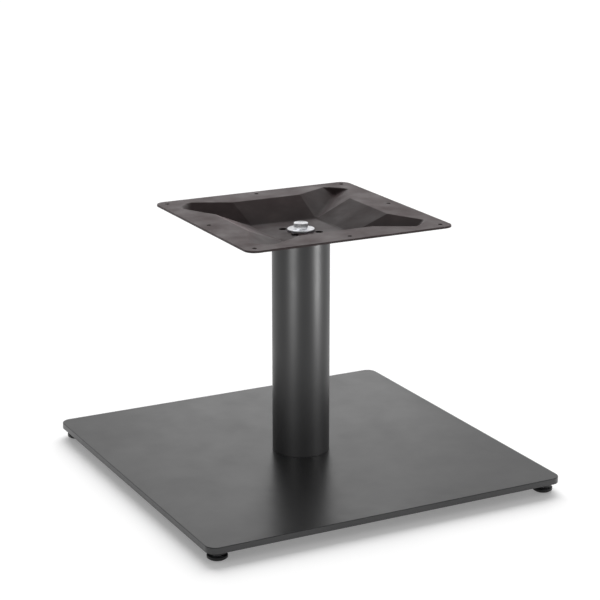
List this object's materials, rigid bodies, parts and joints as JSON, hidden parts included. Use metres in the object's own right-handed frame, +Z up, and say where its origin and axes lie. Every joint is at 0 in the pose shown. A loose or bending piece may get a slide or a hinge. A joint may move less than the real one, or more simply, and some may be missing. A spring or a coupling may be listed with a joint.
{
  "type": "round column table base",
  "caption": "Low table base: flat square steel foot plate, one round steel column and a pressed square top pan with screw holes, standing on screw-adjustable levelling feet.",
  "frame": {"origin": "on the floor, under the middle of the column", "axes": "+Z up along the column; X and Y along the sides of the square foot plate and of the top pan"},
  "size_m": [0.5, 0.5, 0.3435],
  "materials": {
    "plate_coat": "satin charcoal powder coat with a fine texture",
    "column_coat": "satin charcoal powder coat with a fine texture",
    "pan_coat": "semi-gloss black-brown powder coat",
    "zinc_plate": "bright zinc plating",
    "bare_steel": "plain turned steel",
    "pad_plastic": "moulded black plastic"
  },
  "bodies": {
    "root": {"base_plate": "plate_coat", "column_tube": "column_coat", "foot_disc": "bare_steel", "head_disc": "bare_steel", "top_pan": "pan_coat", "pan_washer": "zinc_plate", "pan_bolt": "zinc_plate", "base_screw_1": "zinc_plate", "base_screw_2": "zinc_plate", "base_screw_3": "zinc_plate", "base_screw_4": "zinc_plate", "foot_boss_1": "plate_coat", "foot_boss_2": "plate_coat", "foot_boss_3": "plate_coat", "foot_boss_4": "plate_coat"},
    "foot_1": {"foot_pad_1": "pad_plastic"},
    "stud_1": {"foot_stud_1": "zinc_plate"},
    "foot_2": {"foot_pad_2": "pad_plastic"},
    "stud_2": {"foot_stud_2": "zinc_plate"},
    "foot_3": {"foot_pad_3": "pad_plastic"},
    "stud_3": {"foot_stud_3": "zinc_plate"},
    "foot_4": {"foot_pad_4": "pad_plastic"},
    "stud_4": {"foot_stud_4": "zinc_plate"}
  },
  "joints": [
    {"name": "foot_travel_1", "type": "slide", "parent": "root", "child": "foot_1", "axis": [0, 0, -1], "range_m": [0, 0.006]},
    {"name": "stud_turn_1", "type": "hinge", "parent": "foot_1", "child": "stud_1", "pos_m": [-0.232, -0.232, 0.006], "axis": [0, 0, -1], "range_deg": [0, 1728]},
    {"name": "foot_travel_2", "type": "slide", "parent": "root", "child": "foot_2", "axis": [0, 0, -1], "range_m": [0, 0.006]},
    {"name": "stud_turn_2", "type": "hinge", "parent": "foot_2", "child": "stud_2", "pos_m": [-0.232, 0.232, 0.006], "axis": [0, 0, -1], "range_deg": [0, 1728]},
    {"name": "foot_travel_3", "type": "slide", "parent": "root", "child": "foot_3", "axis": [0, 0, -1], "range_m": [0, 0.006]},
    {"name": "stud_turn_3", "type": "hinge", "parent": "foot_3", "child": "stud_3", "pos_m": [0.232, -0.232, 0.006], "axis": [0, 0, -1], "range_deg": [0, 1728]},
    {"name": "foot_travel_4", "type": "slide", "parent": "root", "child": "foot_4", "axis": [0, 0, -1], "range_m": [0, 0.006]},
    {"name": "stud_turn_4", "type": "hinge", "parent": "foot_4", "child": "stud_4", "pos_m": [0.232, 0.232, 0.006], "axis": [0, 0, -1], "range_deg": [0, 1728]}
  ],
  "couplings": [
    {"joint": "foot_travel_1", "follows": "stud_turn_1", "m_per_rad": 0.00019894},
    {"joint": "foot_travel_2", "follows": "stud_turn_2", "m_per_rad": 0.00019894},
    {"joint": "foot_travel_3", "follows": "stud_turn_3", "m_per_rad": 0.00019894},
    {"joint": "foot_travel_4", "follows": "stud_turn_4", "m_per_rad": 0.00019894}
  ]
}
